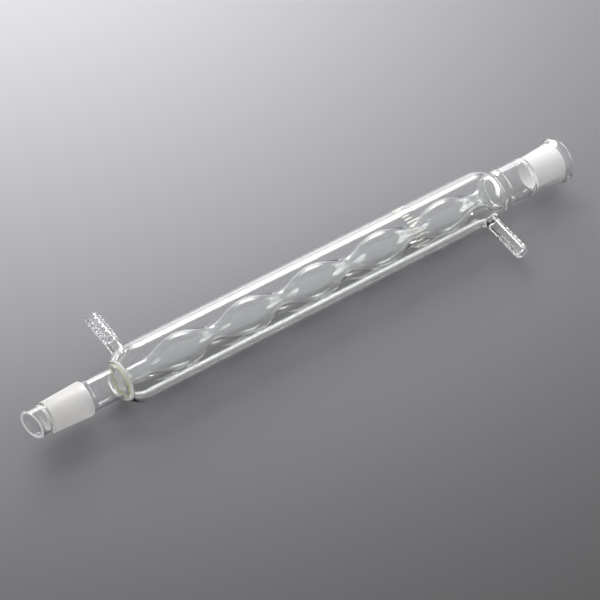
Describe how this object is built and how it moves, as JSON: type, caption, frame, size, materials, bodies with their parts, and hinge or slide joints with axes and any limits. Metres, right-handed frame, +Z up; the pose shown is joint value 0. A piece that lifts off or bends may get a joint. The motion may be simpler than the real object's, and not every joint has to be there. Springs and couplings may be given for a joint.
{
  "type": "allihn condenser",
  "caption": "Glass bulb condenser: a blown bulb tube in a water jacket, with a ground cone and drip tip at one end, a ground socket at the other and a barbed hose arm near each end.",
  "frame": {"origin": "on the surface that the condenser lies on, under the middle of its length", "axes": "+X along the condenser from the cone to the socket, +Z up, the outlet arm towards -Y and the inlet arm towards +Y"},
  "size_m": [0.4338, 0.107, 0.0399],
  "materials": {
    "clear_glass": "clear blown borosilicate glass, fire polished",
    "ground_glass": "fine ground, matt white",
    "seal_glass": "thick clear glass at the fused seals, faintly green",
    "white_enamel": "fired enamel print, matt off-white"
  },
  "bodies": {
    "root": {"drip_tip": "clear_glass", "cone_joint": "ground_glass", "lower_neck": "clear_glass", "lower_ring_seal": "seal_glass", "water_jacket": "clear_glass", "condensing_tube": "clear_glass", "vapour_funnel": "clear_glass", "upper_ring_seal": "seal_glass", "upper_neck": "clear_glass", "socket_joint": "ground_glass", "socket_rim": "clear_glass", "inlet_weld": "seal_glass", "inlet_hose_arm": "clear_glass", "outlet_weld": "seal_glass", "outlet_hose_arm": "clear_glass"}
  },
  "joints": []
}
